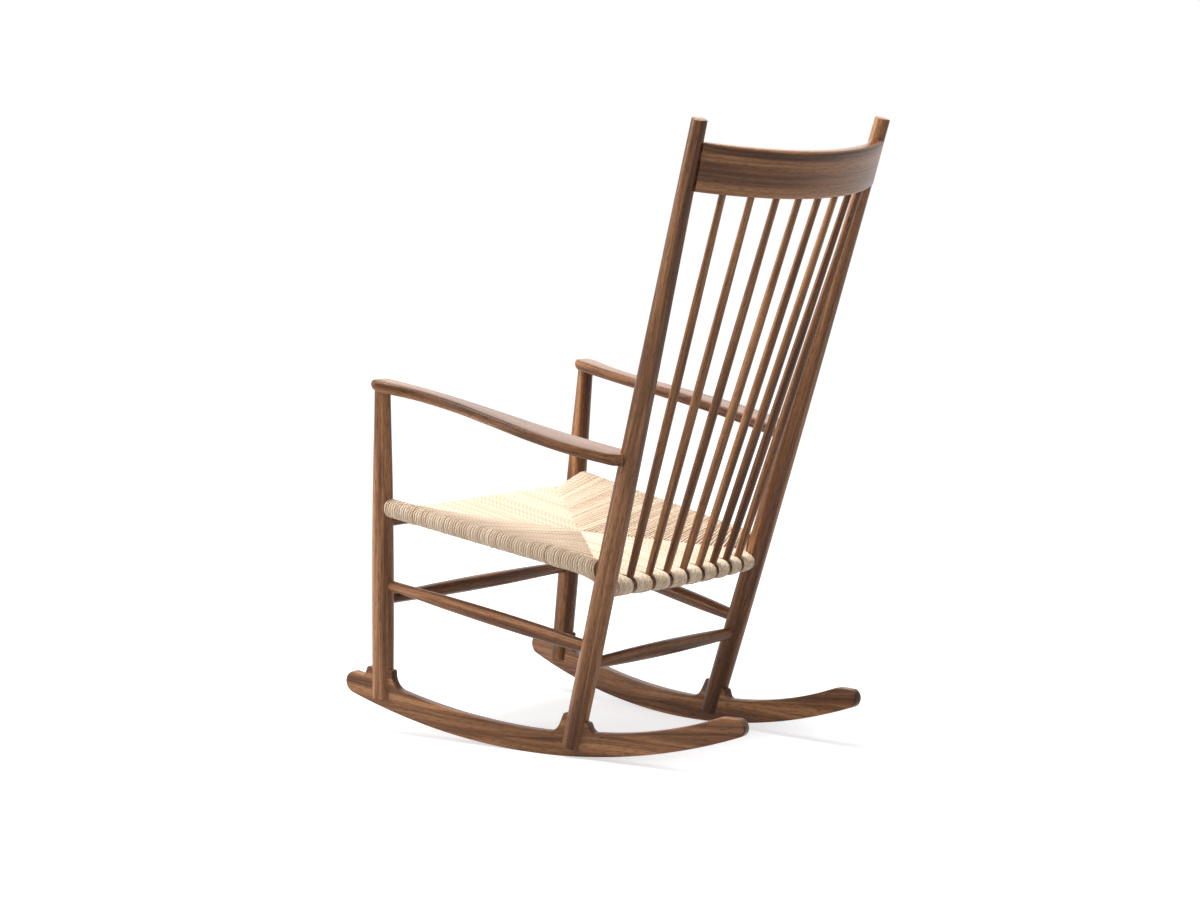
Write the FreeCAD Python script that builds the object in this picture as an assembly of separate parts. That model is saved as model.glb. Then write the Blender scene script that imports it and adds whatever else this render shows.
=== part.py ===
import FreeCAD, Part
import math
import os
from FreeCAD import Placement, Rotation, Vector

# High-backed rocking chair: turned walnut posts that straddle flat rockers, shaped arms, a bowed
# crest rail over eight spindles, and a seat of woven paper cord on four hidden rails.
# Lengths are in millimetres. x runs to the sitter's left, y backwards and z up from the floor.
# The pieces are drawn with y = 0 at the back posts' feet, and moved to the chair's middle last.

# Fits, and the flats and shares of length and radius of hidden tenons and holes
fit_gap = 0.15
cord_gap = 0.25
overrun = 4.0
joint_flats = 16
joint_shares = [(0, 1.0), (1, 1.0)]

# Post lines: where the posts' axes stand at the floor and higher up
post_height = 1070.0
back_foot_half_gap = 192.5
back_top_half_gap = 257.1
back_lean = 317.7
front_line_height = 600.0
front_foot_half_gap = 240.2
front_arm_half_gap = 274.7
front_foot_reach = 386.3
front_arm_reach = 348.7

# Turned posts: shares of the length and of the radius, straight where other pieces join them
back_post_radius = 18.7
back_low_shares = [(0, 1.0), (0.31, 1.0), (0.44, 0.95), (0.51, 0.95)]
back_high_shares = [(0.7, 0.818), (0.9, 0.715), (0.998, 0.715), (1, 0.58)]
back_taper_shares = back_low_shares + back_high_shares
front_post_radius = 17.8
front_taper_shares = [(0, 1.0), (0.65, 1.0), (0.72, 0.96), (0.89, 0.826), (0.95, 0.772), (1, 0.772)]

# Rockers: a plank on edge, with an ear before and behind each post
rocker_radius = 1145.0
rocker_thickness = 16.5
rocker_front_inset = 2.5
rocker_back_outset = 3.5
balance_reach = 76.0
front_cross_height = 90.0
back_cross_height = 44.0
nose_reach = 74.0
nose_radius = 20.0
tail_reach = 329.5
tail_radius = 16.0
front_depth = 45.0
middle_depth = 41.5
rear_depth = 39.0
rocker_edge_round = 2.0
cheek_lift = 17.0
front_shoulder = 115.5
back_shoulder = 69.0
front_ear_ahead = 27.0
front_ear_slant = 8.0
front_ear_behind = 27.0
front_ear_hollow = 26.0
front_ear_run = 35.0
back_ear_ahead = 18.0
back_ear_slant = 16.0
back_ear_hollow = 27.0
back_ear_run = 30.0
back_ear_behind = 30.5
back_tail_slant = 4.5
back_tail_hollow = 9.0
back_tail_run = 18.0
tail_end_run = 40.0
tail_knee_run = 12.0
tail_knee_round = 40.0

# Arms: shares of the arm's length, and of its width to the outside and inside of the post line
arm_thickness = 18.5
arm_width = 58.0
arm_front_height = 623.5
arm_drop = 96.0
arm_crown = 3.0
arm_overhang = 16.0
arm_edge_round = 4.0
arm_corner_round = 15.0
arm_front_outer_share = 0.36
arm_front_inner_share = 0.4
arm_front_round = 18.0
arm_waist_shares = (0.2, 0.08)
arm_bulge_shares = (0.8, 0.92)
arm_rear_outer_share = 0.66
arm_rear_inner_share = 0.3
arm_hollow_shares = (0.76, 0.0)
arm_belly_shares = (0.17, 0.48)
arm_sweep_radius = 250.0
arm_peg_radius = 9.0
arm_peg_depth = 11.0
arm_tenon_radius = 6.0
arm_tenon_depth = 14.0

# Crest rail: heights are along the leaning back, from the floor line
crest_low = 1001.0
crest_height = 80.0
crest_thickness = 20.5
crest_bow = 60.0
crest_set_back = 15.0
crest_edge_round = 2.5
crest_tenon_thickness = 9.0
crest_tenon_shoulder = 12.0
crest_tenon_past = 4.0

# Spindles
spindle_count = 8
spindle_flats = 12
spindle_top_step = 54.5
spindle_foot_step = 43.0
spindle_radius = 7.8
spindle_socket_depth = 16.0
spindle_taper_shares = [(0, 0.68), (0.34, 1.0), (0.68, 0.87), (0.96, 0.67), (1, 0.67)]

# Seat rails, hidden in the cord
cord_thickness = 3.0
front_rail_height = 378.0
front_rail_radius = 12.5
side_rail_front_height = 404.0
side_rail_back_height = 326.0
side_rail_radius = 12.9
back_rail_height = 296.0
back_rail_radius = 11.5
back_rail_bow = 24.0
back_rail_set = 6.0
rail_tenon_radius = 8.0

# Woven seat: where the four fields meet, and the gap of bare rail at each spindle
seat_meet_behind = 226.0
seat_meet_height = 350.0
seat_meet_thickness = 14.0
seat_rim_share = 0.97
seat_bow_steps = 4
spindle_gap_width = 13.0
spindle_gap_front = 8.5

# Stretchers: heights on the posts, widest radius, and shares of length and radius
front_stretcher_height = 238.0
front_stretcher_radius = 11.3
back_stretcher_height = 164.5
back_stretcher_radius = 11.0
side_stretcher_front_height = 267.5
side_stretcher_back_height = 192.0
side_stretcher_radius = 11.7
cross_low_shares = [(0, 0.74), (0.15, 0.84), (0.32, 0.95)]
cross_high_shares = [(0.5, 1.0), (0.68, 0.95), (0.85, 0.84), (1, 0.74)]
cross_taper_shares = cross_low_shares + cross_high_shares
side_taper_shares = [(0, 0.65), (0.2, 0.8), (0.4, 0.95), (0.6, 1.0), (0.8, 0.95), (1, 0.83)]
stretcher_flats = 20

up = Vector(0, 0, 1)
across = Vector(1, 0, 0)
origin = Vector(0, 0, 0)


# Helpers for the turned and sawn pieces
def at_height(low, high, z):
    """The point at height z on the line through low and high."""
    return low + (high - low) * ((z - low.z) / (high.z - low.z))


def unit(vector):
    """The direction of a vector."""
    return vector / vector.Length


def flipped(point):
    """The point's mirror image on the chair's other side."""
    return Vector(-point.x, point.y, point.z)


def mirrored(solid):
    """The solid's mirror image on the chair's other side."""
    return solid.mirror(origin, across)


def line(start, end):
    """A straight edge."""
    return Part.LineSegment(start, end).toShape()


def arc(start, middle, end):
    """A circular edge through three points."""
    return Part.Arc(start, middle, end).toShape()


def stations(length, radius, shares, grow, straight=0):
    """Distances along a turned piece and its radius at each, with straight ends if asked."""
    points = [(length * along, radius * wide + grow) for along, wide in shares]
    if straight:
        first, last = points[0][1], points[-1][1]
        points = [point for point in points if straight < point[0] < length - straight]
        points = [(0, first), (straight, first)] + points
        points += [(length - straight, last), (length, last)]
    return points


def turned(low, high, radius, shares, grow=0):
    """A round piece on the line from low to high, tapered by shares."""
    length = (high - low).Length
    places = stations(length, radius, shares, grow)
    sections = []
    for (start, wide), (end, next_wide) in zip(places, places[1:]):
        if wide == next_wide:
            section = Part.makeCylinder(wide, end - start, up * start)
        else:
            section = Part.makeCone(wide, next_wide, end - start, up * start).toNurbs()
        sections.append(section)
    solid = sections[0].multiFuse(sections[1:])
    solid.Placement = Placement(low, Rotation(up, high - low))
    return max(solid.Solids, key=lambda piece: piece.Volume)


def flat_sided(low, high, radius, shares, flats, grow=0, straight=0):
    """A tapered piece like a turned one, but with narrow flats, for what repeats."""
    length = (high - low).Length
    rings = []
    for along, wide in stations(length, radius, shares, grow, straight):
        corner = Vector(wide, 0, along)
        ring = [Rotation(up, 360 / flats * step).multVec(corner) for step in range(flats)]
        rings.append(Part.makePolygon(ring + ring[:1]))
    solid = Part.makeLoft(rings, True, True)
    solid.Placement = Placement(low, Rotation(up, high - low))
    return solid


def bar(low, high, radius, past=0):
    """A straight round bar from low to high, going past each by the same length."""
    way = unit(high - low)
    return Part.makeCylinder(radius, (high - low).Length + past + past, low - way * past, way)


def rounded_path(corners):
    """Edges through the corners, each a point and the radius that rounds it, 0 for a sharp one."""
    edges = []
    last = corners[0][0]
    for (before, _), (point, radius), (after, _) in zip(corners, corners[1:], corners[2:]):
        if not radius:
            edges.append(line(last, point))
            last = point
            continue
        back, ahead = unit(before - point), unit(after - point)
        half = back.getAngle(ahead) / 2
        reach = radius / math.tan(half)
        start, end = point + back * reach, point + ahead * reach
        middle = point + unit(back + ahead) * (radius / math.sin(half) - radius)
        edges += [line(last, start), arc(start, middle, end)]
        last = end
    edges.append(line(last, corners[-1][0]))
    return edges


# Lines that the pieces share, on the sitter's left
back_foot = Vector(back_foot_half_gap, 0, 0)
back_top = Vector(back_top_half_gap, back_lean, post_height)
front_foot = Vector(front_foot_half_gap, -front_foot_reach, 0)
front_top = Vector(front_arm_half_gap, -front_arm_reach, front_line_height)


def back_axis(z):
    """The point at height z on the left back post's axis."""
    return at_height(back_foot, back_top, z)


def front_axis(z):
    """The point at height z on the left front post's axis."""
    return at_height(front_foot, front_top, z)


# Rocker lines: lengths along the plank are measured backwards from the back post
front_cross = front_axis(front_cross_height) - across * rocker_front_inset
back_cross = back_axis(back_cross_height) + across * rocker_back_outset
rocker_line = Vector(back_cross.x - front_cross.x, back_cross.y - front_cross.y, 0)
front_span = rocker_line.Length
rocker_way = unit(rocker_line)
rocker_turn = Rotation(across, rocker_way)
rocker_place = Placement(Vector(back_cross.x, back_cross.y, 0), rocker_turn)


def rocker_bottom(u):
    """Height of the rocker's lower edge."""
    return rocker_radius - math.sqrt(rocker_radius**2 - (u + balance_reach) ** 2)


def rocker_top(u, depth):
    """A point of the plank's upper edge, the given depth above the lower edge."""
    return Vector(u, 0, rocker_bottom(u) + depth)


def shoulder_point(axis, u, joint_u, shoulder):
    """A point of an ear's top, which lies square to its post."""
    slope = -axis.dot(rocker_way) / axis.z
    return Vector(u, 0, shoulder + slope * (u - joint_u))


def front_shoulder_point(u):
    """A point on the top of the front post's ears."""
    return shoulder_point(front_top - front_foot, u, -front_span, front_shoulder)


def back_shoulder_point(u):
    """A point on the top of the back post's ears."""
    return shoulder_point(back_top - back_foot, u, 0, back_shoulder)


def rocker_outline():
    """The plank's outline: the long arc below, round ends, and ears that rise to the posts."""
    hub = Vector(-balance_reach, 0, rocker_radius)

    def end_round(u, radius):
        drop = math.sqrt((rocker_radius - radius) ** 2 - (u + balance_reach) ** 2)
        return Vector(u, 0, rocker_radius - drop)

    nose = end_round(nose_radius - front_span - nose_reach, nose_radius)
    tail = end_round(tail_reach - tail_radius, tail_radius)
    nose_low = nose + unit(nose - hub) * nose_radius
    tail_low = tail + unit(tail - hub) * tail_radius
    nose_top = nose + up * nose_radius

    ear_front = -front_span - front_ear_ahead
    ear_rear = front_ear_behind - front_span
    span_start = rocker_top(ear_rear + front_ear_run, front_depth)
    span_end = rocker_top(-back_ear_ahead - back_ear_slant - back_ear_run, middle_depth)
    span_middle = rocker_top((span_start.x + span_end.x) / 2, (front_depth + middle_depth) / 2)
    tail_start = rocker_top(back_ear_behind + back_tail_run, middle_depth)
    tail_end = rocker_top(tail_reach - tail_radius - tail_end_run, middle_depth)
    tail_middle = rocker_top((tail_start.x + tail_end.x) / 2, rear_depth)

    front_ears = rounded_path(
        [
            (nose_top, 0),
            (Vector(ear_front - front_ear_slant, 0, nose_top.z), 0),
            (front_shoulder_point(ear_front), 0),
            (front_shoulder_point(ear_rear), 0),
            (rocker_top(ear_rear, front_depth), front_ear_hollow),
            (span_start, 0),
        ]
    )
    back_ears = rounded_path(
        [
            (span_end, 0),
            (rocker_top(-back_ear_ahead - back_ear_slant, middle_depth), back_ear_hollow),
            (back_shoulder_point(-back_ear_ahead), 0),
            (back_shoulder_point(back_ear_behind), 0),
            (rocker_top(back_ear_behind + back_tail_slant, middle_depth), back_tail_hollow),
            (tail_start, 0),
        ]
    )
    tail_arc = arc(tail_start, tail_middle, tail_end)
    bend = tail_end - tail_arc.Curve.Center
    knee = tail_end + unit(bend.cross(Vector(0, 1, 0))) * tail_knee_run
    to_tail = tail - knee
    rise = math.asin(tail_radius / to_tail.Length)
    turn = Rotation(Vector(0, -1, 0), math.degrees(rise))
    tail_top = knee + turn.multVec(unit(to_tail)) * (to_tail.Length * math.cos(rise))

    edges = [arc(nose_low, nose - across * nose_radius, nose_top)]
    edges += front_ears
    edges.append(arc(span_start, span_middle, span_end))
    edges += back_ears
    edges.append(tail_arc)
    edges += rounded_path([(tail_end, 0), (knee, tail_knee_round), (tail_top, 0)])
    edges.append(arc(tail_top, tail + across * tail_radius, tail_low))
    edges.append(arc(tail_low, hub - up * rocker_radius, nose_low))
    return Part.Wire(edges)


def rocker():
    """The left rocker, its long edges rounded over."""
    half = Vector(0, rocker_thickness / 2, 0)
    plank = Part.Face(rocker_outline()).extrude(half * 2)
    plank.translate(-half)
    rims = []
    for face in plank.Faces:
        if abs(face.normalAt(0, 0).y) > math.cos(math.radians(1)):
            rims += face.Edges
    plank = plank.makeChamfer(rocker_edge_round, rims)
    plank.Placement = rocker_place.multiply(plank.Placement)
    return plank


def post_slot(shoulder_at, joint_u, post_radius):
    """The room that a rocker takes in a post's foot, open below, up to the square shoulder."""
    reach = post_radius * 2
    high = [shoulder_at(joint_u - reach), shoulder_at(joint_u + reach)]
    low = [Vector(p.x, 0, -post_radius) for p in high]
    outline = Part.makePolygon([high[0], high[1], low[1], low[0], high[0]])
    half = Vector(0, rocker_thickness / 2 + fit_gap, 0)
    block = Part.Face(outline).extrude(half * 2)
    block.translate(-half)
    block.Placement = rocker_place.multiply(block.Placement)
    return block


# Seat rail and stretcher lines
front_rail_end = front_axis(front_rail_height)
side_rail_ends = (front_axis(side_rail_front_height), back_axis(side_rail_back_height))
back_rail_end = back_axis(back_rail_height) - Vector(0, back_rail_set, 0)
front_stretcher_end = front_axis(front_stretcher_height)
back_stretcher_end = back_axis(back_stretcher_height)
side_stretcher_ends = (front_axis(side_stretcher_front_height), back_axis(side_stretcher_back_height))

# The back rail's bow is one level arc through both posts
half_chord = back_rail_end.x
back_rail_arc = (half_chord**2 + back_rail_bow**2) / (2 * back_rail_bow)
back_rail_hub = Vector(0, back_rail_end.y + back_rail_bow - back_rail_arc, back_rail_height)


def back_rail_point(x):
    """The point of the back rail's centre line at x."""
    return Vector(x, back_rail_hub.y + math.sqrt(back_rail_arc**2 - x**2), back_rail_height)


def bent_bar(radius, half_length):
    """An eight-sided bar along the back rail's arc, with its ends at x = plus and minus half_length."""
    start = back_rail_point(-half_length)
    outward = unit(start - back_rail_hub)
    flat = radius * math.tan(math.radians(22.5))
    ring = [(radius, flat), (flat, radius), (-flat, radius), (-radius, flat)]
    ring += [(-radius, -flat), (-flat, -radius), (flat, -radius), (radius, -flat)]
    corners = [start + outward * wide + up * high for wide, high in ring]
    section = Part.Face(Part.makePolygon(corners + corners[:1]))
    sweep = math.degrees(2 * math.asin(half_length / back_rail_arc))
    return section.revolve(back_rail_hub, -up, sweep)


def joint_pin(low, high, radius, grow=0):
    """A hidden tenon with narrow flats or, grown by the fit, the hole that takes it."""
    past = unit(high - low) * grow
    return flat_sided(low - past, high + past, radius, joint_shares, joint_flats, grow)


# The leaning back: a frame whose z axis runs up the back posts and whose y axis points backwards
lean_angle = math.degrees(math.atan2(back_lean, post_height))
back_frame = Placement(origin, Rotation(across, -lean_angle))
crest_arc = (back_top_half_gap**2 + crest_bow**2) / (2 * crest_bow)


def crest_strip(thickness, half_length, low, high, grow=0):
    """A strip of the crest's bow, centred on its thickness, between two heights up the back."""
    rear = crest_set_back + crest_bow
    hub_y = rear - crest_arc
    middle = crest_arc - crest_thickness / 2

    def bow(radius):
        side = half_length + grow
        ends = [Vector(s * side, hub_y + math.sqrt(radius**2 - side**2), 0) for s in (-1, 1)]
        return ends[0], Vector(0, hub_y + radius, 0), ends[1]

    outer = bow(middle + thickness / 2 + grow)
    inner = bow(middle - thickness / 2 - grow)
    edges = [arc(*outer), line(outer[2], inner[2]), arc(*reversed(inner)), line(inner[0], outer[0])]
    strip = Part.Face(Part.Wire(edges)).extrude(up * (high - low + grow + grow))
    strip.translate(up * (low - grow))
    strip.Placement = back_frame.multiply(strip.Placement)
    return strip


def crest_middle(x):
    """The point in the middle of the crest's lower edge at x."""
    depth = crest_set_back + crest_bow - crest_arc
    reach = crest_arc - crest_thickness / 2
    return back_frame.multVec(Vector(x, depth + math.sqrt(reach**2 - x**2), crest_low))


# Where the crest's ends meet the post axes
crest_axis = back_axis((crest_low + crest_height / 2) * math.cos(math.radians(lean_angle)))
crest_tenon_end = crest_axis.x + crest_tenon_past


def crest_tenons(grow=0):
    """The flat tongue that runs through the crest into both back posts."""
    low = crest_low + crest_tenon_shoulder
    high = crest_low + crest_height - crest_tenon_shoulder
    return crest_strip(crest_tenon_thickness, crest_tenon_end, low, high, grow)


# The arm's line, from the front post's axis to the back post's
arm_low_front = arm_front_height - arm_thickness
arm_front = front_axis(arm_low_front)
arm_rear_height = arm_front_height - arm_drop
arm_rear = back_axis(arm_rear_height - arm_thickness / 2)
arm_line = Vector(arm_rear.x - arm_front.x, arm_rear.y - arm_front.y, 0)


def arm_slab():
    """A wide slab with the arm's slope and crown, the arm's thickness deep."""
    far = across * (arm_front.x * 2)
    ahead = arm_front.y - arm_overhang * 2
    behind = arm_rear.y + arm_overhang * 2
    slope = arm_drop / (arm_front.y - arm_rear.y)
    middle_y = (ahead + behind) / 2

    def top(y, lift=0):
        return Vector(0, y, arm_front_height + slope * (y - arm_front.y) + lift)

    upper = [top(ahead), top(middle_y, arm_crown), top(behind)]
    lower = [p - up * arm_thickness for p in upper]
    edges = [arc(*upper), line(upper[2], lower[2]), arc(*reversed(lower)), line(lower[0], upper[0])]
    return Part.Face(Part.Wire(edges)).extrude(far)


def arm_plan():
    """The arm's outline seen from above: a round front end, a waist, and a wide rear."""
    start = Vector(arm_front.x, arm_front.y, 0)

    def corner(along, wide):
        return start + arm_line * along + across * (arm_width * wide)

    tip = -arm_overhang / arm_line.Length
    rear = corner(1, -arm_rear_inner_share)
    path = [
        (rear, 0),
        (corner(1, arm_rear_outer_share), arm_corner_round),
        (corner(*arm_bulge_shares), arm_sweep_radius),
        (corner(*arm_waist_shares), arm_sweep_radius),
        (corner(tip, arm_front_outer_share), arm_front_round),
        (corner(tip, -arm_front_inner_share), arm_front_round),
        (corner(arm_belly_shares[0], -arm_belly_shares[1]), arm_sweep_radius),
        (corner(arm_hollow_shares[0], -arm_hollow_shares[1]), arm_sweep_radius),
        (rear, 0),
    ]
    return Part.Wire(rounded_path(path))


def back_post_blank(grow=0):
    """The left back post as it leaves the lathe."""
    foot = back_axis(rocker_bottom(0) + cheek_lift)
    return turned(foot, back_top, back_post_radius, back_taper_shares, grow)


def arm():
    """The left arm: rounded edges, scribed to the back post, with a tenon into it."""
    board = Part.Face(arm_plan()).extrude(up * post_height).common(arm_slab())
    rims = [edge for edge in board.Edges if edge.BoundBox.XLength + edge.BoundBox.YLength > arm_edge_round]
    board = board.makeChamfer(arm_edge_round, rims)
    board = board.cut(back_post_blank(fit_gap))
    board = max(board.Solids, key=lambda solid: solid.Volume)
    return board.fuse(arm_tenon()).cut(arm_peg(fit_gap)).removeSplitter()


def arm_tenon(grow=0):
    """The round tenon from the arm's rear into the back post."""
    way = unit(arm_rear - arm_front)
    middle = arm_rear - way * (back_post_radius + arm_tenon_depth)
    return joint_pin(middle, arm_rear, arm_tenon_radius, grow)


def arm_peg(grow=0):
    """The round tenon on top of the front post, up into the arm."""
    base = front_axis(arm_low_front - arm_peg_depth)
    tip = front_axis(arm_low_front + arm_peg_depth)
    return joint_pin(base, tip, arm_peg_radius, grow)


def back_post():
    """The left back post: slotted foot, and holes for what it holds."""
    post = back_post_blank()
    post = post.cut(post_slot(back_shoulder_point, 0, back_post_radius))
    holes = [
        joint_pin(*side_rail_ends, rail_tenon_radius, fit_gap),
        bent_bar(rail_tenon_radius + fit_gap, back_rail_end.x + fit_gap),
        stretcher_hole(side_stretcher_ends[1], side_stretcher_ends[0], side_back_end),
        stretcher_hole(back_stretcher_end, flipped(back_stretcher_end), cross_back_end),
        arm_tenon(fit_gap),
        crest_tenons(fit_gap),
    ]
    for hole in holes:
        post = post.cut(hole)
    return post


def front_post():
    """The left front post: slotted foot, holes, and a round tenon up into the arm."""
    foot = front_axis(rocker_bottom(-front_span) + cheek_lift)
    head = front_axis(arm_low_front + arm_thickness / 2)
    post = turned(foot, head, front_post_radius, front_taper_shares)
    post = post.cut(arm_slab())
    post = max(post.Solids, key=lambda solid: solid.Volume)
    post = post.cut(post_slot(front_shoulder_point, -front_span, front_post_radius))
    holes = [
        joint_pin(*side_rail_ends, rail_tenon_radius, fit_gap),
        joint_pin(front_rail_end, flipped(front_rail_end), rail_tenon_radius, fit_gap),
        stretcher_hole(side_stretcher_ends[0], side_stretcher_ends[1], side_front_end),
        stretcher_hole(front_stretcher_end, flipped(front_stretcher_end), cross_front_end),
    ]
    for hole in holes:
        post = post.cut(hole)
    return post.fuse(arm_peg()).removeSplitter()


# Stretchers: the ends stay straight where they enter the posts
side_front_end = side_stretcher_radius * side_taper_shares[0][1]
side_back_end = side_stretcher_radius * side_taper_shares[-1][1]
cross_front_end = front_stretcher_radius * cross_taper_shares[0][1]
cross_back_end = back_stretcher_radius * cross_taper_shares[0][1]


def stretcher(low, high, radius, shares):
    """A turned stretcher from post axis to post axis."""
    return flat_sided(low, high, radius, shares, stretcher_flats, straight=back_post_radius)


def stretcher_hole(end, far, radius):
    """The blind hole for a stretcher's end in a post."""
    way = unit(far - end)
    ends = (end - way * fit_gap, end + way * (back_post_radius + fit_gap))
    return flat_sided(*ends, radius, joint_shares, stretcher_flats, fit_gap)


def scribed(body, tenon, posts):
    """A rail whose body stops at the posts while its tenon goes in."""
    for post in posts:
        body = body.cut(post)
    body = max(body.Solids, key=lambda solid: solid.Volume)
    return body.fuse(tenon).removeSplitter()


def spindle_line(number):
    """The foot and the crest end of a spindle's axis, counted from the sitter's left."""
    place = (spindle_count - 1) / 2 - number
    return back_rail_point(place * spindle_foot_step), crest_middle(place * spindle_top_step)


def spindle(number, grow=0):
    """A spindle from the back rail's middle up into the crest."""
    foot, mouth = spindle_line(number)
    head = mouth + unit(mouth - foot) * spindle_socket_depth
    return flat_sided(foot, head, spindle_radius, spindle_taper_shares, spindle_flats, grow)


def spindle_holes():
    """The holes that the spindles need in the crest and in the back rail."""
    holes = []
    for number in range(spindle_count):
        foot, mouth = spindle_line(number)
        way = unit(mouth - foot)
        rise = back_rail_radius * 2 / (mouth - foot).Length
        (_, foot_share), (station, share) = spindle_taper_shares[:2]
        foot_radius = spindle_radius * (foot_share + (share - foot_share) * rise / station) + fit_gap
        head_radius = spindle_radius * spindle_taper_shares[-1][1] + fit_gap
        deep = way * fit_gap
        out = foot + way * back_rail_radius * 2
        holes.append(flat_sided(foot - deep, out, foot_radius, joint_shares, spindle_flats))
        head = mouth + way * (spindle_socket_depth + fit_gap)
        mouth -= way * overrun
        holes.append(flat_sided(mouth, head, head_radius, joint_shares, spindle_flats))
    return holes


def crest_rail():
    """The bowed crest: rounded long edges, tenoned into the posts, bored for the spindles."""
    body = crest_strip(crest_thickness, crest_axis.x, crest_low, crest_low + crest_height)
    long_edges = [edge for edge in body.Edges if edge.Length > crest_axis.x]
    body = body.makeChamfer(crest_edge_round, long_edges)
    posts = [back_post_blank(fit_gap)]
    posts.append(mirrored(posts[0]))
    rail = scribed(body, crest_tenons(), posts)
    for hole in spindle_holes():
        rail = rail.cut(hole)
    return rail


def back_seat_rail(posts):
    """The bowed back rail, bored for the spindles."""
    body = bent_bar(back_rail_radius, back_rail_end.x)
    rail = scribed(body, bent_bar(rail_tenon_radius, back_rail_end.x), posts)
    for hole in spindle_holes():
        rail = rail.cut(hole)
    return rail


def seat_rim():
    """Points round the seat on the rails' axes, with the cord's half height at each."""
    front_wrap = front_rail_radius + cord_thickness
    side_wrap = side_rail_radius + cord_thickness
    back_wrap = back_rail_radius + cord_thickness
    way = unit(side_rail_ends[1] - side_rail_ends[0])
    bow_half = back_rail_end.x - back_post_radius
    steps = range(seat_bow_steps, -seat_bow_steps - 1, -1)
    bow = [back_rail_point(bow_half * step / seat_bow_steps) for step in steps]
    left = [
        (front_rail_end - across * front_post_radius, front_wrap),
        (side_rail_ends[0] + way * front_post_radius, side_wrap),
        (side_rail_ends[1] - way * back_post_radius, side_wrap),
    ]
    right = [(flipped(point), wrap) for point, wrap in reversed(left)]
    return left + [(point, back_wrap) for point in bow] + right


def seat_panel():
    """The cord between the rails: a fan of flat fields that meet in the middle."""
    rim = seat_rim()
    meet = Vector(0, front_rail_end.y + seat_meet_behind, seat_meet_height)
    meet_low = meet - up * seat_meet_thickness
    faces = []
    for (start, start_wrap), (end, end_wrap) in zip(rim, rim[1:] + rim[:1]):
        start_up, end_up = up * (start_wrap * seat_rim_share), up * (end_wrap * seat_rim_share)
        corners = [start + start_up, end + end_up, end - end_up, start - start_up]
        faces.append(triangle(corners[0], corners[1], meet))
        faces.append(triangle(corners[2], corners[3], meet_low))
        faces.append(triangle(corners[0], corners[2], corners[1]))
        faces.append(triangle(corners[0], corners[3], corners[2]))
    return Part.Solid(Part.Shell(faces))


def triangle(first, second, third):
    """A flat three-cornered face."""
    return Part.Face(Part.makePolygon([first, second, third, first]))


def spindle_gap(number):
    """The gap in the cord at a spindle, from its front over the rail's back to below."""
    foot, _ = spindle_line(number)
    outward = unit(Vector(foot.x, foot.y - back_rail_hub.y, 0))
    reach = back_rail_radius + cord_thickness + overrun
    size = Vector(spindle_gap_width, spindle_gap_front + reach, reach * 2)
    gap = Part.makeBox(size.x, size.y, size.z, Vector(-size.x / 2, -spindle_gap_front, -reach))
    gap.Placement = Placement(foot, Rotation(Vector(0, 1, 0), outward)).multiply(gap.Placement)
    return gap


def woven_seat(posts):
    """The cord seat: a roll round each rail and the four fields between, as one closed solid."""
    seat = seat_panel()
    rolls = [
        bar(front_rail_end, flipped(front_rail_end), front_rail_radius + cord_thickness),
        bar(*side_rail_ends, side_rail_radius + cord_thickness),
        mirrored(bar(*side_rail_ends, side_rail_radius + cord_thickness)),
        bent_bar(back_rail_radius + cord_thickness, back_rail_end.x),
    ]
    rails = [
        bar(front_rail_end, flipped(front_rail_end), front_rail_radius + cord_gap, overrun),
        bar(*side_rail_ends, side_rail_radius + cord_gap, overrun),
        mirrored(bar(*side_rail_ends, side_rail_radius + cord_gap, overrun)),
        bent_bar(back_rail_radius + cord_gap, back_rail_end.x + overrun),
    ]
    seat = seat.multiFuse(rolls)
    for taken in rails + posts + [spindle_gap(number) for number in range(spindle_count)]:
        seat = seat.cut(taken)
    return max(seat.Solids, key=lambda solid: solid.Volume)


def build():
    """Every piece of the chair by name."""
    pieces = {}
    pairs = {
        "rocker": rocker(),
        "front_post": front_post(),
        "back_post": back_post(),
        "arm": arm(),
        "side_stretcher": stretcher(*side_stretcher_ends, side_stretcher_radius, side_taper_shares),
    }
    foot = front_axis(rocker_bottom(-front_span) + cheek_lift)
    head = front_axis(arm_low_front + arm_thickness / 2)
    posts = {}
    for name, gap in (("rails", fit_gap), ("cord", cord_gap)):
        front = turned(foot, head, front_post_radius, front_taper_shares, gap)
        back = back_post_blank(gap)
        posts[name] = [front, back, mirrored(front), mirrored(back)]
    side_body = bar(*side_rail_ends, side_rail_radius)
    side_tenon = joint_pin(*side_rail_ends, rail_tenon_radius)
    pairs["seat_rail"] = scribed(side_body, side_tenon, posts["rails"])
    for name, solid in pairs.items():
        pieces["left_" + name] = solid
        pieces["right_" + name] = mirrored(solid)

    front_ends = (front_rail_end, flipped(front_rail_end))
    front_body = bar(*front_ends, front_rail_radius)
    front_tenon = joint_pin(*front_ends, rail_tenon_radius)
    pieces["front_seat_rail"] = scribed(front_body, front_tenon, posts["rails"])
    pieces["back_seat_rail"] = back_seat_rail(posts["rails"])
    pieces["crest_rail"] = crest_rail()
    for number in range(spindle_count):
        pieces["spindle_" + str(number + 1)] = spindle(number)
    for name, end, radius in (
        ("front_stretcher", front_stretcher_end, front_stretcher_radius),
        ("back_stretcher", back_stretcher_end, back_stretcher_radius),
    ):
        pieces[name] = stretcher(end, flipped(end), radius, cross_taper_shares)
    pieces["woven_seat"] = woven_seat(posts["cord"])
    return pieces


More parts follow.
